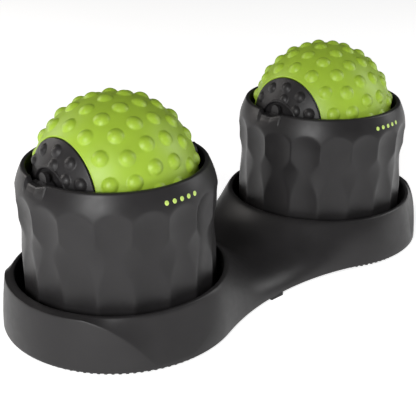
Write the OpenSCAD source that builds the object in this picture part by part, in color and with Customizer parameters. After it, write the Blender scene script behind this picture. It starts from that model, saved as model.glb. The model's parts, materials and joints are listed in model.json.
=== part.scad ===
// Twin-roller foot massager.
// Two knobbly balls each turn on an axle in a fluted grip cup, and the two cups stand in the
// wells of a peanut-shaped floor base. A cup lifts out of its well to be used in the hand.
// +X runs along the base, +Z is up, and the origin is on the floor under the centre of the base.
// "left" is the -X roller and "right" is the +X roller. The rollers are alike.

/* [Base] */
// Distance between the centres of the two wells
cup_spacing = 154; // [152:1:158]
// Radius of each round end of the base at its lower edge
lobe_r = 60; // [59.5:0.5:62]
// Half width of the base at its waist
waist_half_w = 45; // [44:0.5:48]
// Radius of the hollow curve on each side of the waist
waist_curve_r = 145; // [140:1:150]
// Height of the shell's lower edge over the floor
shell_edge_z = 1.8; // [1.6:0.1:2]
// Height of the well lips over the floor
lip_z = 28; // [26:0.5:30]
// Height of the lowest point of the saddle between the wells
saddle_z = 17; // [15:0.5:20]
// Radius of each well
well_r = 52.4; // [52:0.1:53]
// Height of each well's floor
well_floor_z = 7; // [7:0.1:7.4]
// Wall thickness of the base shell
base_wall = 2.5; // [2:0.1:3]
// Number of teeth on each anti-slip ring
ring_teeth = 108; // [72:4:120]

/* [Cup] */
// Height of the cup's rim over the floor
rim_z = 84.2; // [83:0.2:86]
// Inside radius of the cup's rim
rim_inner_r = 43; // [42.8:0.1:43.4]
// Largest outside radius of the cup, at the bulge under its rim
bulge_r = 49.6; // [49:0.1:50]
// Number of grip flutes round the cup
flutes = 18; // [16:2:20]
// Depth of each flute at the cup's waist; it is deeper where the cup is wider
flute_depth = 0.3; // [0:0.1:0.5]

/* [Ball] */
// Diameter of the ball without its knobs
ball_d = 80; // [79:0.5:80]
// Height of the ball's centre, which is the axle's height, over the floor
ball_z = 76; // [75.5:0.5:76.5]
// Base diameter of a knob on the soft band
knob_d = 7.7; // [6:0.1:8]
// Height of a knob on the soft band
knob_h = 1.8; // [1:0.1:1.8]
// Angle from the axle to the edge of each end cap
cap_angle = 40; // [38.6:0.2:41]
// Radius of the hub recess in each end cap
recess_r = 12.7; // [12.6:0.1:13]
// Diameter of the steel axle
axle_d = 6; // [5:0.5:6]

/* [Hidden] */
$fn = 96;

charcoal = [0.22, 0.22, 0.23];
black_rubber = [0.07, 0.07, 0.07];
lime = [0.60, 0.80, 0.12];
steel = [0.75, 0.75, 0.77];
grey_plastic = [0.55, 0.56, 0.58];

lobe_x = cup_spacing / 2;

// Base: the waist curve's centre, and where that curve meets the round ends
waist_centre_y = waist_half_w + waist_curve_r;
lobe_to_curve = norm([lobe_x, waist_centre_y]);
meet_x = lobe_x * waist_curve_r / lobe_to_curve;
meet_y = waist_centre_y - waist_centre_y * waist_curve_r / lobe_to_curve;
lip_outer_r = well_r + 2.3;
valley_half = lobe_x - lip_outer_r + 3;
valley_drop = lip_z - saddle_z;
valley_r = (valley_half * valley_half + valley_drop * valley_drop) / (2 * valley_drop);
crown_h = lip_z - shell_edge_z;
crown_steps = 12;
crown_top_share = 0.12;
plate_top_z = shell_edge_z + 2.6;
tooth_tip_r = lobe_r - 2.4;
tooth_depth = 0.9;
ring_outer_r = tooth_tip_r - tooth_depth - 0.3;
ring_inner_r = ring_outer_r - 6;
ring_top_z = 3;
tooth_corners = [0.08, 0.42, 0.58, 0.92];
foot_size = [8.6, 5, shell_edge_z];
foot_x = 7.6;
base_screw_at = [[0, 20], [0, -20], [26, 36], [26, -36], [-26, 36], [-26, -36]];
base_boss_r = 3.6;
base_screw_l = 5;
base_head_h = 1;

// Screws
screw_r = 1.5;
screw_hole_r = 1.55;
screw_head_r = 2.8;
screw_head_h = 2;
screw_slot = [3.2, 0.6];

// Cup: heights of the stack over the well's floor
pad_z = well_floor_z + 0.2;
pad_h = 1;
cover_z = pad_z + pad_h;
cover_flange_h = 1.6;
shell_bottom_z = cover_z + cover_flange_h;
cup_foot_r = 48.6;
cup_waist_r = 47.3;
cup_bore_r = 44.5;
shoulder_z = 50;
cup_screw_at_r = 22;
cup_screw_l = 18;
boss_r = 5;
boss_top_z = 24;
leg_r = 4;
leg_h = 16;
flute_r = 34;
flute_points = 6;
flute_top_z = 74;
notch_depth = 2.2;
notch_from_y = -7.1;
notch_floor_from_y = -0.4;
notch_floor_to_y = 6.5;
notch_to_y = 8.8;

// Ball and bearing, with distances along the axle measured from the ball's centre
ball_r = ball_d / 2;
axle_r = axle_d / 2;
skin_t = 3.1;
core_r = ball_r - skin_t - 0.1;
core_wall = 2.9;
hub_r = 6.5;
cap_gap = 0.5;
cap_knob_d = 6.3;
cap_knob_h = 1.6;
cap_inner_places = 9;
cap_inner_knobs = 7;
recess_rim_t = 1.2;
recess_rim_x = 38.3;
recess_floor_x = 36.5;
cap_floor_x = 34.2;
post_inner_x = 38;
post_low_x = 40;
post_half_w = 8;
post_outer_x = 42.9;
tab_inner_x = 39.4;
tab_outer_x = 41.4;
tab_r = 2.6;
tab_z = 9.2;
bearing_r = 7.5;
bush_r = 4.5;
bush_bore_r = axle_r + 0.05;
bush_flange_r = 6;
axle_end_x = 41;
bowl_r = 42.4;
bowl_wall = 1.5;
bowl_top_z = ball_z - 12;

// ---------- placing ----------

module at_left() {
    translate([-lobe_x, 0, 0])
        children();
}

module at_right() {
    translate([lobe_x, 0, 0])
        children();
}

// Puts children on to the ball's axle, with their +Z towards side * X and their +X upwards
module on_axle(side) {
    translate([0, 0, ball_z])
        if (side < 0)
            rotate([0, -90, 0])
                children();
        else
            mirror([1, 0, 0])
                rotate([0, -90, 0])
                    children();
}

// ---------- base ----------

// Outline of the base: two round ends joined by hollow curves, drawn in by inset all round
module peanut(inset) {
    difference() {
        union() {
            for (x = [-lobe_x, lobe_x])
                translate([x, 0])
                    circle(r = lobe_r - inset);
            square([2 * meet_x, 2 * meet_y], center = true);
        }
        for (y = [-waist_centre_y, waist_centre_y])
            translate([0, y])
                circle(r = waist_curve_r + inset);
    }
}

// Tool that leaves the crowned side of the waist, with t of wall taken off
module crown_cutter(t) {
    half_w = waist_half_w - t;
    top = crown_h - t;
    rotate_extrude($fn = 180)
        polygon(concat(
            [[0, shell_edge_z - 1], [waist_curve_r + t, shell_edge_z - 1]],
            [for (i = [0 : crown_steps - 1])
                let (a = 90 * i / crown_steps)
                    [waist_centre_y - half_w * cos(a), shell_edge_z + top * sin(a)]],
            [[waist_centre_y - half_w * crown_top_share, lip_z + 1], [0, lip_z + 1]]));
}

// Bridge between the round ends: crowned from side to side and dipped from end to end
module waist_body(t) {
    difference() {
        translate([0, 0, shell_edge_z])
            linear_extrude(height = crown_h - t)
                intersection() {
                    peanut(t);
                    square([2 * meet_x, 2 * meet_y + 10], center = true);
                }
        for (y = [-waist_centre_y, waist_centre_y])
            translate([0, y, 0])
                crown_cutter(t);
        translate([0, 0, saddle_z + valley_r])
            rotate([90, 0, 0])
                cylinder(r = valley_r + t, h = 2 * lobe_r, center = true, $fn = 180);
    }
}

// One round end with its lip, before the well is cut
module lobe_body() {
    rotate_extrude($fn = 180)
        polygon([
            [0, shell_edge_z], [lobe_r, shell_edge_z], [lobe_r, shell_edge_z + 2],
            [lobe_r - 0.9, lip_z * 0.45], [lobe_r - 2.1, lip_z * 0.8],
            [lobe_r - 2.7, lip_z - 1], [lobe_r - 3.7, lip_z], [0, lip_z]]);
}

module base_shell() {
    color(charcoal)
        difference() {
            union() {
                for (x = [-lobe_x, lobe_x])
                    translate([x, 0, 0])
                        lobe_body();
                waist_body(0);
            }
            for (x = [-lobe_x, lobe_x])
                translate([x, 0, well_floor_z])
                    cylinder(r = well_r, h = lip_z, $fn = 180);
            translate([0, 0, shell_edge_z - 1])
                linear_extrude(height = plate_top_z - shell_edge_z + 1)
                    peanut(base_wall + 0.3);
            difference() {
                waist_body(base_wall);
                for (x = [-lobe_x, lobe_x])
                    translate([x, 0, 0])
                        cylinder(r = lip_outer_r + 0.8, h = lip_z + 1);
                for (p = base_screw_at)
                    translate([p[0], p[1], plate_top_z])
                        cylinder(r = base_boss_r, h = lip_z, $fn = 48);
            }
            for (p = base_screw_at)
                translate([p[0], p[1], 0])
                    cylinder(r = screw_hole_r, h = 8.4, $fn = 32);
        }
}

module base_plate() {
    color(charcoal)
        difference() {
            translate([0, 0, shell_edge_z])
                linear_extrude(height = plate_top_z - shell_edge_z)
                    peanut(base_wall + 0.4);
            for (x = [-lobe_x, lobe_x])
                translate([x, 0, shell_edge_z - 1])
                    difference() {
                        cylinder(r = ring_outer_r + 0.1, h = ring_top_z - shell_edge_z + 1);
                        translate([0, 0, -1])
                            cylinder(r = ring_inner_r - 0.1, h = lip_z);
                    }
            for (p = base_screw_at)
                translate([p[0], p[1], shell_edge_z - 1]) {
                    cylinder(r = screw_hole_r, h = 10, $fn = 32);
                    cylinder(r = screw_head_r + 0.1, h = 1 + base_head_h, $fn = 32);
                }
        }
}

// Pan-head screw that points up, with its head below the origin and a cross slot in the head
module screw(length, head_h) {
    difference() {
        union() {
            translate([0, 0, -head_h])
                cylinder(r = screw_head_r, h = head_h, $fn = 32);
            cylinder(r = screw_r, h = length, $fn = 32);
        }
        for (a = [0, 90])
            rotate([0, 0, a])
                translate([-screw_slot[0] / 2, -screw_slot[1] / 2, -head_h - 1])
                    cube([screw_slot[0], screw_slot[1], 1 + head_h / 2]);
    }
}

module base_screws() {
    color(steel)
        for (p = base_screw_at)
            translate([p[0], p[1], shell_edge_z + base_head_h])
                screw(base_screw_l, base_head_h);
}

// Ring with a toothed flange under the shell's edge and a plain rib that sits in the plate
module grip_ring() {
    step = 360 / ring_teeth;
    color(black_rubber)
        difference() {
            union() {
                linear_extrude(height = shell_edge_z)
                    polygon([for (i = [0 : ring_teeth - 1], k = [0 : 3])
                        let (
                            a = step * (i + tooth_corners[k]),
                            depth = k < 2 ? 0 : tooth_depth,
                            r = tooth_tip_r - depth)
                            [r * cos(a), r * sin(a)]]);
                cylinder(r = ring_outer_r, h = ring_top_z);
            }
            translate([0, 0, -1])
                cylinder(r = ring_inner_r, h = ring_top_z + 2);
        }
}

module left_grip_ring() {
    at_left()
        grip_ring();
}

module right_grip_ring() {
    at_right()
        grip_ring();
}

// Two pads under the edges of the waist, placed so that half a turn swaps them
module waist_feet() {
    color(black_rubber)
        for (a = [0, 180])
            rotate([0, 0, a])
                translate([-foot_x - foot_size[0] / 2, -waist_half_w - 0.1, 0])
                    cube(foot_size);
}

// ---------- cup ----------

// Distance from the cup's axis to a flute, at an angle from the middle of that flute
function flute_radius(a) =
    let (centre = cup_waist_r - flute_depth + flute_r)
        centre * cos(a) - sqrt(flute_r * flute_r - pow(centre * sin(a), 2));

// Plan of the fluted part of the cup
module fluted_plan() {
    pitch = 360 / flutes;
    polygon([for (i = [0 : flutes - 1], k = [0 : flute_points - 1])
        let (a = pitch * k / flute_points, r = flute_radius(a - pitch / 2))
            [r * cos(i * pitch + a), r * sin(i * pitch + a)]]);
}

// Turned body of the cup, before the flutes and the notches
module cup_body() {
    rotate_extrude($fn = 180)
        polygon([
            [cup_bore_r, shell_bottom_z], [cup_foot_r, shell_bottom_z],
            [cup_foot_r, 35], [(cup_foot_r + cup_waist_r) / 2, 43.5],
            [cup_waist_r, 50], [cup_waist_r, 54],
            [(bulge_r + cup_waist_r) / 2, 59.3],
            [bulge_r, 65.5], [bulge_r, 68.5], [bulge_r - 1.2, 75],
            [rim_inner_r + 3.7, rim_z - 5], [rim_inner_r + 2.2, rim_z - 1],
            [rim_inner_r + 1.7, rim_z], [rim_inner_r + 0.2, rim_z],
            [rim_inner_r, rim_z - 0.2], [rim_inner_r, rim_z - 6],
            [cup_bore_r, rim_z - 9]]);
}

module cup_shell() {
    color(charcoal)
        difference() {
            union() {
                intersection() {
                    cup_body();
                    union() {
                        linear_extrude(height = flute_top_z)
                            fluted_plan();
                        translate([0, 0, flute_top_z])
                            cylinder(r = bulge_r + 4, h = rim_z);
                    }
                }
                translate([0, 0, shoulder_z - 2.5])
                    rotate_extrude()
                        translate([rim_inner_r - 1.2, 0])
                            square([cup_bore_r - rim_inner_r + 2, 2.5]);
            }
            rotate([90, 0, 90])
                linear_extrude(height = 2 * bulge_r + 10, center = true)
                    polygon([
                        [notch_from_y, rim_z], [notch_floor_from_y, rim_z - notch_depth],
                        [notch_floor_to_y, rim_z - notch_depth], [notch_to_y, rim_z],
                        [notch_to_y, rim_z + 1], [notch_from_y, rim_z + 1]]);
        }
}

// Post that holds one end of the axle: a block under the cup's notch, with a bearing boss and
// a round-topped tab that rises past the rim
module post() {
    intersection() {
        translate([post_low_x, -post_half_w, ball_z - 20])
            cube([post_outer_x - post_low_x, 2 * post_half_w, rim_z - notch_depth - ball_z + 20]);
        cylinder(r = rim_inner_r - 0.3, h = rim_z, $fn = 180);
    }
    on_axle(1) {
        translate([0, 0, post_inner_x])
            cylinder(r = bearing_r, h = post_outer_x - post_inner_x - 1);
        translate([tab_z, 0, tab_inner_x])
            cylinder(r = tab_r, h = tab_outer_x - tab_inner_x);
        translate([0, -tab_r, tab_inner_x])
            cube([tab_z, 2 * tab_r, tab_outer_x - tab_inner_x]);
    }
}

// Bowl under the ball, with a clamping flange, three screw legs and the two axle posts
module cradle() {
    color(charcoal)
        difference() {
            union() {
                difference() {
                    union() {
                        translate([0, 0, ball_z])
                            sphere(r = bowl_r + bowl_wall, $fn = 128);
                        translate([0, 0, shoulder_z])
                            cylinder(r = cup_bore_r - 0.3, h = 2, $fn = 180);
                        for (a = [90, 210, 330])
                            rotate([0, 0, a])
                                translate([cup_screw_at_r, 0, boss_top_z])
                                    cylinder(r = leg_r, h = leg_h, $fn = 48);
                    }
                    translate([0, 0, ball_z])
                        sphere(r = bowl_r, $fn = 128);
                    translate([0, 0, bowl_top_z])
                        cylinder(r = 2 * bowl_r, h = ball_d);
                }
                for (a = [0, 180])
                    rotate([0, 0, a])
                        post();
            }
            for (side = [-1, 1])
                on_axle(side)
                    translate([0, 0, post_inner_x - 1])
                        cylinder(r = bush_r, h = tab_outer_x - post_inner_x + 1.2, $fn = 64);
            for (a = [90, 210, 330])
                rotate([0, 0, a])
                    translate([cup_screw_at_r, 0, boss_top_z - 1])
                        cylinder(r = screw_hole_r, h = 11, $fn = 32);
        }
}

// Flanged plain bearings, one in each post
module bushes() {
    color(grey_plastic)
        for (side = [-1, 1])
            on_axle(side)
                difference() {
                    union() {
                        translate([0, 0, post_inner_x - 1])
                            cylinder(r = bush_flange_r, h = 1, $fn = 64);
                        translate([0, 0, post_inner_x - 1])
                            cylinder(r = bush_r, h = tab_outer_x - post_inner_x + 1, $fn = 64);
                    }
                    translate([0, 0, post_inner_x - 2])
                        cylinder(r = bush_bore_r, h = 10, $fn = 64);
                }
}

module cup_cover() {
    color(charcoal)
        difference() {
            union() {
                translate([0, 0, cover_z])
                    cylinder(r = cup_foot_r - 1.2, h = cover_flange_h, $fn = 180);
                translate([0, 0, cover_z])
                    cylinder(r = cup_bore_r - 0.3, h = cover_flange_h + 2.4, $fn = 180);
                for (a = [90, 210, 330])
                    rotate([0, 0, a])
                        translate([cup_screw_at_r, 0, cover_z])
                            cylinder(r = boss_r, h = boss_top_z - cover_z, $fn = 48);
            }
            for (a = [90, 210, 330])
                rotate([0, 0, a])
                    translate([cup_screw_at_r, 0, cover_z - 1]) {
                        cylinder(r = screw_hole_r, h = 30, $fn = 32);
                        cylinder(r = screw_head_r + 0.3, h = 7, $fn = 32);
                    }
        }
}

module cup_screws() {
    color(steel)
        for (a = [90, 210, 330])
            rotate([0, 0, a])
                translate([cup_screw_at_r, 0, cover_z + 6])
                    screw(cup_screw_l, screw_head_h);
}

// Soft ring under the cup that it stands on
module cup_pad() {
    color(black_rubber)
        translate([0, 0, pad_z])
            difference() {
                cylinder(r = cup_foot_r - 4, h = pad_h, $fn = 180);
                translate([0, 0, -1])
                    cylinder(r = cup_foot_r - 14, h = pad_h + 2, $fn = 180);
            }
}

// ---------- ball ----------

// One knob: a low dome on the ball, at an angle from the axle and an angle round it
module knob(from_axle, around, base_d, height) {
    dome_r = (base_d * base_d / 4 + height * height) / (2 * height);
    rotate([0, 0, around])
        rotate([0, from_axle, 0])
            translate([0, 0, ball_r + height - dome_r])
                sphere(r = dome_r, $fn = 48);
}

// Knobs in a ring round the axle. A ring has a number of even places, of which some may be empty.
module knob_ring(from_axle, places, filled, base_d, height, turn) {
    for (i = [0 : filled - 1])
        knob(from_axle, turn - i * 360 / places, base_d, height);
}

// The three rings of knobs on one half of the band
module band_knobs() {
    knob_ring(50, 15, 15, knob_d, knob_h, 0);
    knob_ring(66, 20, 20, knob_d, knob_h, -2);
    knob_ring(82, 22, 22, knob_d, knob_h, -2);
}

// Soft knobbly band, split from the end caps by a narrow gap
module ball_band() {
    mouth = ball_r + 10;
    color(lime)
        on_axle(-1)
            difference() {
                union() {
                    sphere(r = ball_r, $fn = 180);
                    band_knobs();
                    mirror([0, 0, 1])
                        band_knobs();
                }
                sphere(r = ball_r - skin_t, $fn = 180);
                for (flip = [0, 180])
                    rotate([0, flip, 0])
                        cylinder(r1 = 0, r2 = mouth * tan(cap_angle), h = mouth, $fn = 180);
            }
}

// Hard end cap with two rings of knobs and a recess that clears the bearing post
module end_cap(side) {
    mouth = ball_r + 10;
    edge = cap_angle - cap_gap * 180 / (PI * ball_r);
    color(charcoal)
        on_axle(side)
            difference() {
                union() {
                    difference() {
                        intersection() {
                            union() {
                                sphere(r = ball_r, $fn = 180);
                                knob_ring(31.4, 12, 12, cap_knob_d, cap_knob_h, -4);
                                knob_ring(22, cap_inner_places, cap_inner_knobs, cap_knob_d,
                                    cap_knob_h, -9);
                            }
                            cylinder(r1 = 0, r2 = mouth * tan(edge), h = mouth, $fn = 180);
                        }
                        sphere(r = ball_r - skin_t, $fn = 180);
                    }
                    translate([0, 0, cap_floor_x])
                        cylinder(r = recess_r + recess_rim_t, h = recess_rim_x - cap_floor_x);
                }
                translate([0, 0, recess_floor_x])
                    cylinder(r = recess_r, h = 20);
                translate([0, 0, cap_floor_x - 1])
                    cylinder(r = axle_r + 0.1, h = 20, $fn = 64);
            }
}

// Half of the hard core, with a hub that grips the axle
module core_half(side) {
    color(grey_plastic)
        on_axle(side)
            difference() {
                union() {
                    difference() {
                        sphere(r = core_r, $fn = 180);
                        sphere(r = core_r - core_wall, $fn = 180);
                    }
                    cylinder(r = hub_r, h = cap_floor_x - 0.2);
                }
                translate([0, 0, -2 * ball_r])
                    cylinder(r = 2 * ball_r, h = 2 * ball_r);
                translate([0, 0, -1])
                    cylinder(r = axle_r, h = 2 * ball_r, $fn = 64);
                translate([0, 0, cap_floor_x - 0.2])
                    cylinder(r = recess_r + 1.8, h = ball_r);
            }
}

module axle() {
    color(steel)
        on_axle(1)
            union() {
                cylinder(r = axle_r, h = 2 * axle_end_x - 1, center = true, $fn = 64);
                for (flip = [0, 180])
                    rotate([0, flip, 0])
                        translate([0, 0, axle_end_x - 0.5])
                            cylinder(r1 = axle_r, r2 = axle_r - 0.5, h = 0.5, $fn = 64);
            }
}

// ---------- the two rollers ----------

module left_cup_shell() {
    at_left()
        cup_shell();
}

module left_cradle() {
    at_left()
        cradle();
}

module left_bushes() {
    at_left()
        bushes();
}

module left_cup_cover() {
    at_left()
        cup_cover();
}

module left_cup_screws() {
    at_left()
        cup_screws();
}

module left_cup_pad() {
    at_left()
        cup_pad();
}

module left_axle() {
    at_left()
        axle();
}

module left_outer_core() {
    at_left()
        core_half(-1);
}

module left_inner_core() {
    at_left()
        core_half(1);
}

module left_ball_band() {
    at_left()
        ball_band();
}

module left_outer_cap() {
    at_left()
        end_cap(-1);
}

module left_inner_cap() {
    at_left()
        end_cap(1);
}

module right_cup_shell() {
    at_right()
        cup_shell();
}

module right_cradle() {
    at_right()
        cradle();
}

module right_bushes() {
    at_right()
        bushes();
}

module right_cup_cover() {
    at_right()
        cup_cover();
}

module right_cup_screws() {
    at_right()
        cup_screws();
}

module right_cup_pad() {
    at_right()
        cup_pad();
}

module right_axle() {
    at_right()
        axle();
}

module right_inner_core() {
    at_right()
        core_half(-1);
}

module right_outer_core() {
    at_right()
        core_half(1);
}

module right_ball_band() {
    at_right()
        ball_band();
}

module right_inner_cap() {
    at_right()
        end_cap(-1);
}

module right_outer_cap() {
    at_right()
        end_cap(1);
}

base_shell();
base_plate();
base_screws();
left_grip_ring();
right_grip_ring();
waist_feet();
left_cup_shell();
left_cradle();
left_bushes();
left_cup_cover();
left_cup_screws();
left_cup_pad();
left_axle();
left_outer_core();
left_inner_core();
left_ball_band();
left_outer_cap();
left_inner_cap();
right_cup_shell();
right_cradle();
right_bushes();
right_cup_cover();
right_cup_screws();
right_cup_pad();
right_axle();
right_inner_core();
right_outer_core();
right_ball_band();
right_inner_cap();
right_outer_cap();
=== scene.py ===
"""Looks for the twin-roller foot massager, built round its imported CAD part.

Lengths are in millimetres until a mesh is made, and angles are in degrees.
"""
import json
import math

import bmesh
import bpy
import numpy as np
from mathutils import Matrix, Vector


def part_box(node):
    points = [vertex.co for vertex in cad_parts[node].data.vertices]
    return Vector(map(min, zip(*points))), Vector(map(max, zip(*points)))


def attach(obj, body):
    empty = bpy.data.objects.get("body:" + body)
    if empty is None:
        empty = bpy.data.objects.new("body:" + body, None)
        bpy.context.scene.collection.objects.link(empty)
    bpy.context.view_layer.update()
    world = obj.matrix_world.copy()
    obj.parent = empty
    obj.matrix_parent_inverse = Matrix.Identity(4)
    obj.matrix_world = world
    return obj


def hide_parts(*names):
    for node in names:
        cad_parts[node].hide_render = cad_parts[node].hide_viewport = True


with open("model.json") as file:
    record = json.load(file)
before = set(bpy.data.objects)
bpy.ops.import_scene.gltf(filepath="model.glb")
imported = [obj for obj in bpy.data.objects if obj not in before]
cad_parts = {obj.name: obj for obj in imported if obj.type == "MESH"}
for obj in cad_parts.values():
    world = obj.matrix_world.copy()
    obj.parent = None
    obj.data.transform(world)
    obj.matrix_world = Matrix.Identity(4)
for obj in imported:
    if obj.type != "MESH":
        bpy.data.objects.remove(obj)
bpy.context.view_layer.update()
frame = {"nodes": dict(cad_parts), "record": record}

MM = 0.001
SIDES = {"left": -1, "right": 1}


def high(node):
    """Highest corner of a CAD node, in millimetres."""
    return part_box(node)[1] / MM


def low(node):
    """Lowest corner of a CAD node, in millimetres."""
    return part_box(node)[0] / MM


# Places that come from the CAD part
AXLE_MIDDLE = (high("right_axle") + low("right_axle")) / 2
ROLLER_X = AXLE_MIDDLE.x
BALL_Z = AXLE_MIDDLE.z
RIM_Z = high("right_cup_shell").z
CUP_BOTTOM_Z = low("right_cup_shell").z
LIP_Z = high("base_shell").z
EDGE_Z = low("base_shell").z
LOBE_R = high("base_shell").x - ROLLER_X - 0.02

# Ball. The gap between cap and band is an angle too
BALL_R = 40.0
SKIN_INNER_R = 36.9
CAP_ANGLE = 40.0
CAP_GAP = 0.72
# Rings of knobs as (angle from the axle, places, filled places, turn of the first)
BAND_KNOBS = ((50.0, 15, 15, 0.0), (66.0, 20, 20, -2.0), (82.0, 22, 22, -2.0))
BAND_KNOB = (7.7, 1.8)
CAP_KNOBS = ((31.4, 12, 12, -4.0), (22.0, 9, 7, -9.0))
CAP_KNOB = (6.3, 1.6)
RECESS_R = 12.7
RECESS_FLOOR = 36.5
RECESS_RIM = 38.3
RECESS_RIM_T = 1.2
CAP_BACK = 34.2
AXLE_HOLE_R = 3.1
SKIN_EDGE_R = 0.5
KNOB_FOOT = 0.25

# Cup
FLUTES = 18
FLUTE_PATH_R = 81.0
FLUTE_R = 34.0
FLUTE_TOP_Z = 65.0
FLUTE_SOFTNESS = 0.3
BULGE_R = 49.6
BULGE_Z = 66.7
RIM_TUCK = 4.6
BEYOND_CUP_R = BULGE_R + 9
WAIST_R = 47.3
WAIST_Z = 52.0
FOOT_R = 48.6
FOOT_Z = 35.0
RIM_INNER_R = 43.0
BORE_R = 44.5
LEDGE_R = 42.3
LEDGE_TOP_Z = 50.0
LEDGE_BOTTOM_Z = 47.5
NOTCH_FROM_Y = -7.1
NOTCH_FLOOR_FROM_Y = -0.4
NOTCH_FLOOR_TO_Y = 6.5
NOTCH_TO_Y = 8.8
NOTCH_DROP = 2.2
LUG_PROUD = 0.6

# Base
WELL_R = 52.4
WELL_FLOOR_Z = 7.0
LIP_OUTER_R = 54.4
WAIST_CURVE_R = 145.0
WAIST_HALF = 45.0
WAIST_CENTRE_Y = WAIST_HALF + WAIST_CURVE_R
SADDLE_Z = 17.0
SADDLE_POWER = 2.2
LIP_FOOT = 0.3
EDGE_CHAMFER = 0.3
SHELL_T = 2.8
WALL_LEAN = 2.7
PAST_MIDDLE = 4
# The shoulder's crease drops from the lip's height as the ray turns to the waist
CREASE_FROM_ANGLE = 160
CREASE_RATE = 7.6e-4
CREASE_POWER = 2.7
# Between these angles the section changes from shoulder to waist
SHOULDER_ANGLE = 98
WAIST_ANGLE = 70


def smoothstep(start, end, x):
    """0 at the start, 1 at the end and eased in between. The start may be the larger."""
    t = np.clip((np.asarray(x, float) - start) / (end - start), 0, 1)
    return t * t * (3 - 2 * t)


def soft_min(a, b, width):
    """The smaller of two values, with the corner between them rounded over a width."""
    h = np.clip(0.5 + 0.5 * (b - a) / width, 0, 1)
    return b * (1 - h) + a * h - width * h * (1 - h)


# ---------- materials ----------


def shader(name, colour, roughness, metallic=0.0, specular=0.5):
    """A new material and its Principled shader, with the plain values on the shader's sockets."""
    material = bpy.data.materials.new(name)
    material.use_nodes = True
    principled = material.node_tree.nodes["Principled BSDF"]
    principled.inputs["Base Color"].default_value = (*colour, 1)
    principled.inputs["Roughness"].default_value = roughness
    principled.inputs["Metallic"].default_value = metallic
    principled.inputs["Specular IOR Level"].default_value = specular
    return material, principled


def noise(material, scale, detail=2.0, stretch=(1, 1, 1)):
    """A noise texture over the object's own coordinates, which are in metres."""
    tree = material.node_tree
    coordinates = tree.nodes.new("ShaderNodeTexCoord")
    mapping = tree.nodes.new("ShaderNodeMapping")
    mapping.inputs["Scale"].default_value = stretch
    texture = tree.nodes.new("ShaderNodeTexNoise")
    texture.inputs["Scale"].default_value = scale
    texture.inputs["Detail"].default_value = detail
    tree.links.new(coordinates.outputs["Object"], mapping.inputs["Vector"])
    tree.links.new(mapping.outputs["Vector"], texture.inputs["Vector"])
    return texture.outputs["Fac"]


def vary(material, factor, socket, low_value, high_value):
    """Drives a number socket between two values from a 0-to-1 factor."""
    span = material.node_tree.nodes.new("ShaderNodeMapRange")
    span.inputs["From Min"].default_value = 0.3
    span.inputs["From Max"].default_value = 0.7
    span.inputs["To Min"].default_value = low_value
    span.inputs["To Max"].default_value = high_value
    material.node_tree.links.new(factor, span.inputs["Value"])
    material.node_tree.links.new(span.outputs["Result"], socket)


def mottle(material, factor, socket, dark, light):
    """Drives a colour socket between two colours from a 0-to-1 factor."""
    ramp = material.node_tree.nodes.new("ShaderNodeValToRGB")
    ramp.color_ramp.elements[0].position = 0.3
    ramp.color_ramp.elements[0].color = (*dark, 1)
    ramp.color_ramp.elements[1].position = 0.7
    ramp.color_ramp.elements[1].color = (*light, 1)
    material.node_tree.links.new(factor, ramp.inputs["Fac"])
    material.node_tree.links.new(ramp.outputs["Color"], socket)


def grain(material, principled, factors, distance):
    """Bump from the product of noises, as fine moulded texture."""
    height = factors[0]
    for factor in factors[1:]:
        product = material.node_tree.nodes.new("ShaderNodeMath")
        product.operation = "MULTIPLY"
        material.node_tree.links.new(height, product.inputs[0])
        material.node_tree.links.new(factor, product.inputs[1])
        height = product.outputs["Value"]
    bump = material.node_tree.nodes.new("ShaderNodeBump")
    bump.inputs["Strength"].default_value = 0.5
    bump.inputs["Distance"].default_value = distance
    material.node_tree.links.new(height, bump.inputs["Height"])
    material.node_tree.links.new(bump.outputs["Normal"], principled.inputs["Normal"])


def moulded(
    name, colour, roughness, grain_scale=2600.0, depth=0.00004, specular=0.5, spread=0.12
):
    """Moulded plastic or rubber: a faint mottle, uneven gloss and a fine spark-eroded grain."""
    material, principled = shader(name, colour, roughness, specular=specular)
    broad = noise(material, 55.0, detail=3.0)
    fine = noise(material, grain_scale, detail=2.0)
    dark = [c * (1 - spread) for c in colour]
    light = [c * (1 + spread) for c in colour]
    mottle(material, broad, principled.inputs["Base Color"], dark, light)
    gloss = noise(material, 260.0, detail=3.0)
    vary(material, gloss, principled.inputs["Roughness"], roughness - 0.03, roughness + 0.03)
    grain(material, principled, [fine], depth)
    return material, principled


def lime_rubber():
    """Soft lime rubber that lets a little light in under its skin."""
    material, principled = moulded(
        "lime_rubber", (0.36, 0.54, 0.04), 0.46, grain_scale=1800.0, depth=0.00003, spread=0.05
    )
    principled.inputs["Subsurface Weight"].default_value = 0.12
    principled.inputs["Subsurface Radius"].default_value = (0.8, 1.0, 0.2)
    principled.inputs["Subsurface Scale"].default_value = 0.0015
    return material


def brushed_steel():
    """Turned steel rod: fine marks that run round it."""
    material, principled = shader("steel", (0.62, 0.62, 0.63), 0.3, metallic=1.0)
    lines = noise(material, 900.0, detail=2.0, stretch=(6, 1, 1))
    vary(material, lines, principled.inputs["Roughness"], 0.22, 0.4)
    grain(material, principled, [lines], 0.00002)
    return material


def lime_ink():
    """Printed mark: flat lime ink with a slightly uneven gloss."""
    material, principled = shader("lime_ink", (0.55, 0.74, 0.16), 0.45)
    film = noise(material, 1500.0)
    dark, light = (0.50, 0.69, 0.14), (0.60, 0.79, 0.18)
    mottle(material, film, principled.inputs["Base Color"], dark, light)
    vary(material, film, principled.inputs["Roughness"], 0.4, 0.5)
    return material


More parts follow.
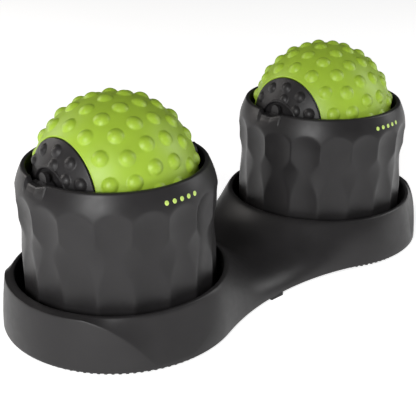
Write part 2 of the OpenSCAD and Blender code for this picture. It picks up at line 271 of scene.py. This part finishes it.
CHARCOAL = (0.021, 0.0198, 0.0205)
MATERIALS = {
    "base_plastic": moulded("base_plastic", CHARCOAL, 0.42, specular=0.3)[0],
    "cup_plastic": moulded("cup_plastic", CHARCOAL, 0.4, specular=0.3)[0],
    "cap_plastic": moulded("cap_plastic", CHARCOAL, 0.44, specular=0.3)[0],
    "core_plastic": moulded("core_plastic", (0.25, 0.26, 0.28), 0.4)[0],
    "bearing_plastic": moulded("bearing_plastic", (0.5, 0.5, 0.48), 0.35, depth=0.00001)[0],
    "lime_rubber": lime_rubber(),
    "steel": brushed_steel(),
    "grip_rubber": moulded("grip_rubber", (0.011,) * 3, 0.75, grain_scale=1400.0)[0],
    "lime_ink": lime_ink(),
}


# ---------- mesh making ----------


def make_piece(name, points, faces, body, slot, material=None):
    """A smooth closed mesh piece from points in millimetres, riding on a CAD body."""
    mesh = bpy.data.meshes.new(name)
    mesh.from_pydata((np.asarray(points, float) * MM).tolist(), [], [list(f) for f in faces])
    shaped = bmesh.new()
    shaped.from_mesh(mesh)
    bmesh.ops.remove_doubles(shaped, verts=shaped.verts, dist=1e-6)
    bmesh.ops.recalc_face_normals(shaped, faces=shaped.faces)
    for face in shaped.faces:
        face.smooth = True
    shaped.to_mesh(mesh)
    shaped.free()
    piece = bpy.data.objects.new(name, mesh)
    bpy.context.scene.collection.objects.link(piece)
    mesh.materials.append(material or MATERIALS[slot])
    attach(piece, body)
    return piece


def ring_quads(rows, columns, closed=False, first=0):
    """Quads between rows of points that each run round a full circle."""
    steps = rows if closed else rows - 1
    quads = []
    for i in range(steps):
        here = first + i * columns
        there = first + ((i + 1) % rows) * columns
        for j in range(columns):
            k = (j + 1) % columns
            quads.append((here + j, here + k, there + k, there + j))
    return quads


def knob_height(directions, knobs, base_d, height):
    """Height of the knobs over the ball at unit directions, each a low dome with a soft foot."""
    dome_r = (base_d ** 2 / 4 + height ** 2) / (2 * height)
    best = np.zeros(len(directions))
    for knob in knobs:
        away = BALL_R * np.arccos(np.clip(directions @ knob, -1, 1))
        inside = np.clip(dome_r ** 2 - away ** 2, 0, None)
        dome = np.sqrt(inside) - (dome_r - height)
        best = np.maximum(best, np.where(away < base_d, dome, 0))
    return -soft_min(-best, np.zeros(len(best)), KNOB_FOOT) - KNOB_FOOT / 4


def axle_direction(from_axle, around, side):
    """Unit direction at an angle from the axle's end on a side, and an angle round it from
    straight up."""
    t, a = np.radians(from_axle), np.radians(around)
    return np.stack([side * np.cos(t) + 0 * a, np.sin(t) * np.sin(a), np.sin(t) * np.cos(a)], -1)


def knob_directions(rings, side, mirrored=False):
    """Unit directions of the knobs of some rings, with the mirrored rings as well if asked."""
    found = []
    for from_axle, places, filled, turn in rings:
        for i in range(filled):
            around = turn - i * 360 / places
            found.append(axle_direction(from_axle, around, side))
            if mirrored:
                found.append(axle_direction(180 - from_axle, around, side))
    return found


# ---------- ball ----------


def turned_skin(profile, columns, side, knobs, knob_size):
    """Points of a skin turned round the axle. A profile row is (distance from the ball's centre,
    angle from the axle, whether knobs rise there)."""
    around = np.arange(columns) * 360 / columns
    rows = []
    for reach, from_axle, has_knobs in profile:
        directions = axle_direction(np.full(columns, from_axle), around, side)
        rise = knob_height(directions, knobs, *knob_size) if has_knobs else np.zeros(columns)
        rows.append(directions * (reach + rise)[:, None])
    return np.concatenate(rows)


def at_ball(points, side):
    """Moves points from round the origin to round a ball's middle."""
    return points + np.array([side * ROLLER_X, 0, BALL_Z])


def rounded_edge(from_axle, radius, outward, steps=4):
    """Profile rows that round a skin's outer edge off. Outward is 1 when the edge faces a larger
    angle, and -1 when it faces a smaller one."""
    rows = []
    for i in range(steps + 1):
        a = math.radians(90 * i / steps)
        reach = BALL_R - radius * (1 - math.cos(a))
        shift = radius * (1 - math.sin(a))
        rows.append((reach, from_axle - outward * math.degrees(shift / BALL_R), False))
    return rows


def ball_band(name, side):
    """The soft lime band, knobbly outside and plain inside."""
    first, last = CAP_ANGLE, 180 - CAP_ANGLE
    edge = math.degrees(SKIN_EDGE_R / BALL_R)
    rows = int((last - first - 2 * edge) / 0.6)
    outer = [(BALL_R, t, True) for t in np.linspace(first + edge, last - edge, rows)[1:-1]]
    inner = [(SKIN_INNER_R, t, False) for t in np.linspace(last, first, 24)]
    profile = rounded_edge(first, SKIN_EDGE_R, -1)[::-1] + outer
    profile += rounded_edge(last, SKIN_EDGE_R, 1) + inner
    knobs = knob_directions(BAND_KNOBS, -1, mirrored=True)
    columns = 600
    points = turned_skin(profile, columns, -1, knobs, BAND_KNOB)
    faces = ring_quads(len(profile), columns, closed=True)
    points = at_ball(points, side)
    piece = make_piece(f"{name}_band", points, faces, f"{name}_ball", "lime_rubber")
    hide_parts(f"{name}_ball_band")


def cap_profile():
    """Rows of an end cap: knobbly skin, rounded edge, inside, back plate, axle hole and the
    recess with its raised rim."""
    edge_angle = CAP_ANGLE - CAP_GAP
    rim_r = RECESS_R + RECESS_RIM_T

    def turned(radius, along):
        return (math.hypot(radius, along), math.degrees(math.atan2(radius, along)), False)

    skin_start = math.degrees(math.asin((rim_r + 0.1) / BALL_R))
    skin = np.linspace(skin_start, edge_angle - math.degrees(SKIN_EDGE_R / BALL_R), 34)
    rows = [(BALL_R, t, True) for t in skin[:-1]]
    rows += rounded_edge(edge_angle, SKIN_EDGE_R, 1)
    rows += [(SKIN_INNER_R, t, False) for t in np.linspace(edge_angle, 23.5, 8)]
    rows += [turned(14.1, CAP_BACK), turned(AXLE_HOLE_R, CAP_BACK)]
    rows += [turned(AXLE_HOLE_R, RECESS_FLOOR - 0.3)]
    rows += [turned(AXLE_HOLE_R + 0.3, RECESS_FLOOR)]
    rows += [turned(8, RECESS_FLOOR), turned(RECESS_R - 0.6, RECESS_FLOOR)]
    rows += [turned(RECESS_R - 0.15, RECESS_FLOOR + 0.15)]
    rows += [turned(RECESS_R, RECESS_FLOOR + 0.6)]
    rows += [turned(RECESS_R, RECESS_RIM - 0.35), turned(RECESS_R + 0.1, RECESS_RIM - 0.1)]
    rows += [turned(RECESS_R + 0.35, RECESS_RIM), turned(rim_r - 0.35, RECESS_RIM)]
    rows += [turned(rim_r - 0.1, RECESS_RIM - 0.1), turned(rim_r, RECESS_RIM - 0.35)]
    return rows


def end_cap(name, end, side, facing):
    """One end cap. Side is the roller's side, and facing is the way the cap faces along X."""
    profile = cap_profile()
    columns = 360
    knobs = knob_directions(CAP_KNOBS, facing)
    points = turned_skin(profile, columns, facing, knobs, CAP_KNOB)
    faces = ring_quads(len(profile), columns, closed=True)
    label = f"{name}_{end}_cap"
    points = at_ball(points, side)
    piece = make_piece(f"{label}_skin", points, faces, f"{name}_ball", "cap_plastic")
    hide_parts(label)


# ---------- cup ----------


def cup_outline(z):
    """Outside radius of the cup at a height, before flutes."""
    z = np.asarray(z, float)
    top = BULGE_R - RIM_TUCK * ((z - BULGE_Z) / (RIM_Z - BULGE_Z)) ** 2

    def ease(low_z, high_z, low_r, high_r):
        share = np.clip((z - low_z) / (high_z - low_z), 0, 1)
        return low_r + (high_r - low_r) * (1 - np.cos(np.pi * share)) / 2

    middle = ease(WAIST_Z, BULGE_Z, WAIST_R, BULGE_R)
    lower = ease(FOOT_Z, WAIST_Z, FOOT_R, WAIST_R)
    return np.where(z > BULGE_Z, top, np.where(z > WAIST_Z, middle, lower))


def fluted(z, around):
    """Outside radius of the cup at a height and an angle from +X, flutes included."""
    pitch = 360 / FLUTES
    off = np.radians((np.asarray(around, float) % pitch) - pitch / 2)
    over = np.clip(np.asarray(z, float) - FLUTE_TOP_Z, 0, FLUTE_R - 1)
    cutter = np.sqrt(FLUTE_R ** 2 - over ** 2)
    inside = np.clip(cutter ** 2 - (FLUTE_PATH_R * np.sin(off)) ** 2, 0, None)
    cut = FLUTE_PATH_R * np.cos(off) - np.sqrt(inside)
    flute = np.where(inside > 0, cut, BEYOND_CUP_R)
    return soft_min(cup_outline(z), flute, FLUTE_SOFTNESS)


def cup_angles():
    """Angles round the cup, closer together at the notches."""
    angles = set(np.arange(0, 360, 1.0))
    for middle in (0, 180, 360):
        angles |= {a for a in np.round(np.arange(middle - 14, middle + 14, 0.25), 3)}
    return np.array(sorted(a for a in angles if 0 <= a < 360))


def cup_rows():
    """Rows of the cup shell as (outside or inside, radius, height), once round its section."""
    rows = [("in", BORE_R, CUP_BOTTOM_Z), ("out", -0.5, CUP_BOTTOM_Z)]
    rows += [("out", -0.15, CUP_BOTTOM_Z + 0.15)]
    rows += [("out", 0.0, z) for z in np.linspace(CUP_BOTTOM_Z + 0.5, FOOT_Z, 10)]
    rows += [("out", 0.0, z) for z in np.linspace(FOOT_Z, RIM_Z - 1.2, 62)[1:]]
    top = float(cup_outline(RIM_Z - 1.2))
    rows += [("in", top - 0.22, RIM_Z - 0.7), ("in", top - 0.55, RIM_Z - 0.25)]
    rows += [("in", top - 1.0, RIM_Z)]
    rows += [("in", RIM_INNER_R + 0.3, RIM_Z), ("in", RIM_INNER_R + 0.08, RIM_Z - 0.08)]
    rows += [("in", RIM_INNER_R, RIM_Z - down) for down in (0.3, 3, 6)]
    rows += [("in", BORE_R, RIM_Z - 9), ("in", BORE_R, LEDGE_TOP_Z)]
    rows += [("in", LEDGE_R, LEDGE_TOP_Z), ("in", LEDGE_R, LEDGE_BOTTOM_Z)]
    rows += [("in", BORE_R, LEDGE_BOTTOM_Z)]
    return rows


def notched(radius, z, around):
    """Drops the rim at the two notches over the axle's ends, and stands the wall under them
    proud."""
    y = radius * np.sin(np.radians(around))
    down = np.clip((y - NOTCH_FROM_Y) / (NOTCH_FLOOR_FROM_Y - NOTCH_FROM_Y), 0, 1)
    up = np.clip((NOTCH_TO_Y - y) / (NOTCH_TO_Y - NOTCH_FLOOR_TO_Y), 0, 1)
    drop = np.minimum(down, up)
    new_z = z - NOTCH_DROP * drop * np.clip((z - RIM_Z + 7) / 5, 0, 1)
    outer = radius > RIM_INNER_R + 1.0
    lug = smoothstep(NOTCH_FROM_Y - 0.4, NOTCH_FROM_Y, y)
    lug = lug * smoothstep(NOTCH_TO_Y + 0.4, NOTCH_TO_Y, y)
    new_radius = radius + LUG_PROUD * lug * smoothstep(RIM_Z - 7, RIM_Z - 2, z) * outer
    return new_radius, new_z


def cup_shell(name, side):
    """The fluted grip cup, as one closed wall."""
    around = cup_angles()
    rows = cup_rows()
    points = []
    for kind, value, z in rows:
        radius = fluted(z, around) + value if kind == "out" else np.full(len(around), value)
        radius, height = notched(radius, np.full(len(around), float(z)), around)
        a = np.radians(around)
        x = radius * np.cos(a) + side * ROLLER_X
        points.append(np.stack([x, radius * np.sin(a), height], -1))
    points = np.concatenate(points)
    faces = ring_quads(len(rows), len(around), closed=True)
    piece = make_piece(f"{name}_cup_wall", points, faces, f"{name}_cup", "cup_plastic")
    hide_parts(f"{name}_cup_shell")


def dot_mark(name, side):
    """A generic printed mark: a short row of plain round dots under the rim, at a cup's front."""
    count, pitch, radius, middle_z, front = 5, 4.2, 1.1, RIM_Z - 6.4, -90.0
    sunk, top = -0.25, 0.08
    rings = ((1.0, sunk), (1.0, 0.02), (0.93, 0.07), (0.5, top))
    columns = 28
    points, faces = [], []
    for i in range(count):
        along = (i - (count - 1) / 2) * pitch
        start = len(points)
        around = np.arange(columns) * 2 * math.pi / columns
        for share, proud in rings:
            across = along + share * radius * np.cos(around)
            z = middle_z + share * radius * np.sin(around)
            points += on_cup(front, across, z, proud, side)
        for proud in (sunk, top):
            points += on_cup(front, np.array([along]), np.array([middle_z]), proud, side)
        faces += ring_quads(len(rings), columns, first=start)
        back = start + len(rings) * columns
        last = start + (len(rings) - 1) * columns
        for j in range(columns):
            k = (j + 1) % columns
            faces += [(back, start + k, start + j), (back + 1, last + j, last + k)]
    ink = MATERIALS["lime_ink"]
    make_piece(f"{name}_dot_mark", points, faces, f"{name}_cup", "lime_rubber", ink)


def on_cup(front, across, z, proud, side):
    """Points on the cup's outside, at distances across from an angle, standing proud of it."""
    radius = cup_outline(z) + proud
    a = np.radians(front) + across / cup_outline(z)
    return np.stack([radius * np.cos(a) + side * ROLLER_X, radius * np.sin(a), z], -1).tolist()


# ---------- base ----------


def base_reach(angle):
    """Distance from the left lobe's middle to the base's outline, at an angle from +X. Rays that
    cross the middle of the base stop just past it, because that part is cut off."""
    a = np.radians(angle)
    b = ROLLER_X * math.cos(a) + WAIST_CENTRE_Y * abs(math.sin(a))
    k = ROLLER_X ** 2 + WAIST_CENTRE_Y ** 2 - WAIST_CURVE_R ** 2
    past = (ROLLER_X + PAST_MIDDLE) / math.cos(a) if math.cos(a) > 0.2 else 1e9
    meet = math.degrees(math.atan2(WAIST_CENTRE_Y, ROLLER_X))
    if abs(angle) > meet or b * b < k:
        return min(LOBE_R, past) if abs(angle) > meet else past
    return min(b - math.sqrt(b * b - k), past)


def waist_height(x, y):
    """Height of the base's top between the lips: crowned from side to side, dipped from end to
    end."""
    x, y = np.asarray(x, float), np.abs(np.asarray(y, float))
    near = np.hypot(x + ROLLER_X, y)
    far = np.hypot(x - ROLLER_X, y)
    off_lip = np.clip(soft_min(near, far, 14.0) - LIP_OUTER_R - LIP_FOOT, 0, None)
    to_curve = np.hypot(x, WAIST_CENTRE_Y - y) - WAIST_CURVE_R
    to_lobe = LOBE_R - near
    on_lobe_side = (x + ROLLER_X) * WAIST_CENTRE_Y < y * ROLLER_X
    to_edge = np.clip(np.where(on_lobe_side, to_lobe, to_curve), 0, None)
    off_ridge = np.clip(soft_min(y, off_lip, 5.0), 0, None)
    share = np.clip(off_ridge / (off_ridge + to_edge + 1e-9), 0, 1)
    reach = ROLLER_X - LIP_OUTER_R - LIP_FOOT
    top = SADDLE_Z + (LIP_Z - SADDLE_Z) * np.clip(1 - off_lip / reach, 0, 1) ** SADDLE_POWER
    return EDGE_Z + (top - EDGE_Z) * np.sqrt(1 - share ** 2)


def wall_lean(z):
    """How far the base's outer wall has leant in at a height."""
    return WALL_LEAN * np.clip((z - EDGE_Z) / (LIP_Z - EDGE_Z), 0, 1) ** 1.5


def crease_z(angle):
    """Height at which the sloping shoulder meets the outer wall, at an angle from the waist's."""
    drop = CREASE_RATE * np.clip(CREASE_FROM_ANGLE - abs(angle), 0, None) ** CREASE_POWER
    return float(np.clip(LIP_Z + 0.5 - drop, EDGE_Z + 2, LIP_Z - 0.5))


def shoulder_line(angle, count):
    """Section from the lip's outer edge over the shoulder and down the wall, as (radius,
    height)."""
    z_c = crease_z(angle)
    half = count // 2
    reach = base_reach(angle)
    down = np.linspace(0, 1, half + 1)
    shoulder_r = LIP_OUTER_R + (reach - wall_lean(z_c) - LIP_OUTER_R) * down
    shoulder_z = LIP_Z + (z_c - LIP_Z) * down
    wall_z = np.linspace(z_c, EDGE_Z + EDGE_CHAMFER, count - half)[1:]
    r = np.concatenate([shoulder_r, reach - wall_lean(wall_z)])
    return np.stack([r, np.concatenate([shoulder_z, wall_z])], -1)


def waist_line(angle, count):
    """Section from the lip's outer edge over the waist to the base's edge, as (radius,
    height)."""
    reach = base_reach(angle)
    share = 1 - (1 - np.linspace(0, 1, count)) ** 2
    r = LIP_OUTER_R + (reach - LIP_OUTER_R) * share
    a = math.radians(angle)
    z = waist_height(r * math.cos(a) - ROLLER_X, r * math.sin(a))
    return np.stack([r, np.maximum(z, EDGE_Z + EDGE_CHAMFER)], -1)


def lobe_section(angle):
    """The base's section along one ray from a well's middle: floor, well, lip, top, edge and
    underside."""
    count = 49
    blend = float(smoothstep(SHOULDER_ANGLE, WAIST_ANGLE, abs(angle)))
    top = (1 - blend) * shoulder_line(angle, count) + blend * waist_line(angle, count)
    lip = np.array([
        [0.2 * WELL_R, WELL_FLOOR_Z], [0.6 * WELL_R, WELL_FLOOR_Z], [WELL_R - 0.8, WELL_FLOOR_Z],
        [WELL_R - 0.2, WELL_FLOOR_Z + 0.2], [WELL_R, WELL_FLOOR_Z + 0.8], [WELL_R, 17.0],
        [WELL_R, LIP_Z - 1.2], [WELL_R + 0.06, LIP_Z - 0.6], [WELL_R + 0.25, LIP_Z - 0.2],
        [WELL_R + 0.6, LIP_Z], [LIP_OUTER_R - 0.6, LIP_Z]])
    upper = np.concatenate([lip, top])
    # Two passes of smoothing, from the lip's outer edge on
    for _ in range(2):
        smooth = upper.copy()
        smooth[1:-1] = (upper[:-2] + 2 * upper[1:-1] + upper[2:]) / 4
        upper[len(lip) - 1:] = smooth[len(lip) - 1:]
    reach = base_reach(angle)
    inset, ceiling = reach - SHELL_T, EDGE_Z + SHELL_T
    under = [[reach - EDGE_CHAMFER, EDGE_Z], [inset, EDGE_Z], [inset, ceiling]]
    under += [[inset * share, ceiling] for share in (0.93, 0.8, 0.6, 0.35, 0.12)]
    return np.concatenate([upper, np.array(under)])


def base_housing():
    """The base's top housing: rays from the left well's middle, and their mirror image."""
    angles = np.arange(-180, 180, 1.0)
    sections = np.array([lobe_section(a) for a in angles])
    a = np.radians(angles)[:, None]
    x = sections[..., 0] * np.cos(a) - ROLLER_X
    y = sections[..., 0] * np.sin(a)
    grid = np.stack([x, y, sections[..., 1]], -1).transpose(1, 0, 2)
    rows, columns = grid.shape[:2]
    points = grid.reshape(-1, 3).tolist()
    points += [[-ROLLER_X, 0, WELL_FLOOR_Z], [-ROLLER_X, 0, EDGE_Z + SHELL_T]]
    faces = ring_quads(rows, columns)
    top, under = len(points) - 2, len(points) - 1
    for j in range(columns):
        k = (j + 1) % columns
        last = (rows - 1) * columns
        faces += [(top, k, j), (under, last + j, last + k)]
    points, faces = halved_and_mirrored(points, faces)
    piece = make_piece("base_housing", points, faces, "base", "base_plastic")
    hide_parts("base_shell")


def halved_and_mirrored(points, faces):
    """Cuts a left half off at x = 0 and adds its mirror image, as points and faces."""
    mesh = bpy.data.meshes.new("half")
    mesh.from_pydata(points, [], faces)
    half = bmesh.new()
    half.from_mesh(mesh)
    bmesh.ops.bisect_plane(
        half, geom=half.verts[:] + half.edges[:] + half.faces[:], dist=1e-4,
        plane_co=(0, 0, 0), plane_no=(1, 0, 0), clear_outer=True)
    half.verts.index_update()
    left = [list(v.co) for v in half.verts]
    left_faces = [[v.index for v in f.verts] for f in half.faces]
    half.free()
    bpy.data.meshes.remove(mesh)
    right = [[-p[0], p[1], p[2]] for p in left]
    right_faces = [[len(left) + i for i in reversed(f)] for f in left_faces]
    return left + right, left_faces + right_faces


# ---------- carried-over CAD nodes ----------


def dress_nodes():
    """Gives every CAD node that still shows its procedural material."""
    slots = {part["node"]: part["material_slot"] for part in frame["record"]["subparts"]}
    for node, piece in frame["nodes"].items():
        if piece.hide_render:
            continue
        piece.data.materials.clear()
        piece.data.materials.append(MATERIALS[slots[node]])


# ---------- stage ----------

# Places and sizes are in metres from here on
FLOOR_GLOW = 0.7
WORLD_STRENGTH = 0.05
CAMERA_PLACE = (-0.3179, -0.3197, 0.2287)
CAMERA_TILT = 66.82
CAMERA_YAW = -43.36
CAMERA_LENS = 76.15
MIDDLE = (0, 0, 0.05)


def floor():
    """Plain pale floor that glows, with a faint mottle."""
    half = 4.0
    mesh = bpy.data.meshes.new("floor")
    corners = [(-half, -half, 0), (half, -half, 0), (half, half, 0), (-half, half, 0)]
    mesh.from_pydata(corners, [], [(0, 1, 2, 3)])
    piece = bpy.data.objects.new("floor", mesh)
    bpy.context.scene.collection.objects.link(piece)
    material, principled = shader("floor", (0.9, 0.9, 0.9), 0.7, specular=0.2)
    dark, light = (0.88,) * 3, (0.92,) * 3
    mottle(material, noise(material, 3.0), principled.inputs["Base Color"], dark, light)
    principled.inputs["Emission Color"].default_value = (1, 1, 1, 1)
    principled.inputs["Emission Strength"].default_value = FLOOR_GLOW
    mesh.materials.append(material)


def softbox(name, position, target, size, power, colour=(1, 1, 1)):
    """A square area light in metres and watts that faces a target."""
    data = bpy.data.lights.new(name, "AREA")
    data.shape = "RECTANGLE"
    data.size, data.size_y = size
    data.energy = power
    data.color = colour
    lamp = bpy.data.objects.new(name, data)
    lamp.location = position
    lamp.rotation_euler = (Vector(target) - Vector(position)).to_track_quat("-Z", "Y").to_euler()
    bpy.context.scene.collection.objects.link(lamp)


def toward(azimuth, elevation, distance):
    """A position seen from the object's middle, in metres. Azimuth is counted from the camera's
    side, to the right of the picture."""
    a, e = math.radians(CAMERA_YAW - 90 + azimuth), math.radians(elevation)
    return (
        distance * math.cos(e) * math.cos(a),
        distance * math.cos(e) * math.sin(a),
        0.05 + distance * math.sin(e),
    )


def lights():
    """A faint even world, a key light from the left of the camera and two rim lights."""
    world = bpy.data.worlds.new("studio")
    world.use_nodes = True
    background = world.node_tree.nodes["Background"]
    background.inputs["Color"].default_value = (1, 1, 1, 1)
    background.inputs["Strength"].default_value = WORLD_STRENGTH
    bpy.context.scene.world = world
    softbox("key", toward(-20, 20, 1.1), MIDDLE, (0.4, 0.5), 9)
    softbox("rim_right", toward(105, 25, 1.1), MIDDLE, (0.3, 0.7), 4)
    softbox("rim_left", toward(-115, 25, 1.2), MIDDLE, (0.3, 0.7), 4, (1, 0.96, 0.92))


def camera():
    """A long-lens camera, over the base and to its front left."""
    data = bpy.data.cameras.new("camera")
    data.sensor_width = 36
    data.lens = CAMERA_LENS
    data.clip_start, data.clip_end = 0.01, 50
    eye = bpy.data.objects.new("camera", data)
    eye.location = CAMERA_PLACE
    eye.rotation_euler = (math.radians(CAMERA_TILT), 0, math.radians(CAMERA_YAW))
    bpy.context.scene.collection.objects.link(eye)
    bpy.context.scene.camera = eye


base_housing()
for roller, roller_side in SIDES.items():
    cup_shell(roller, roller_side)
    dot_mark(roller, roller_side)
    ball_band(roller, roller_side)
    end_cap(roller, "outer", roller_side, roller_side)
    end_cap(roller, "inner", roller_side, -roller_side)
dress_nodes()
floor()
lights()
camera()
bpy.context.scene.view_settings.view_transform = "Standard"
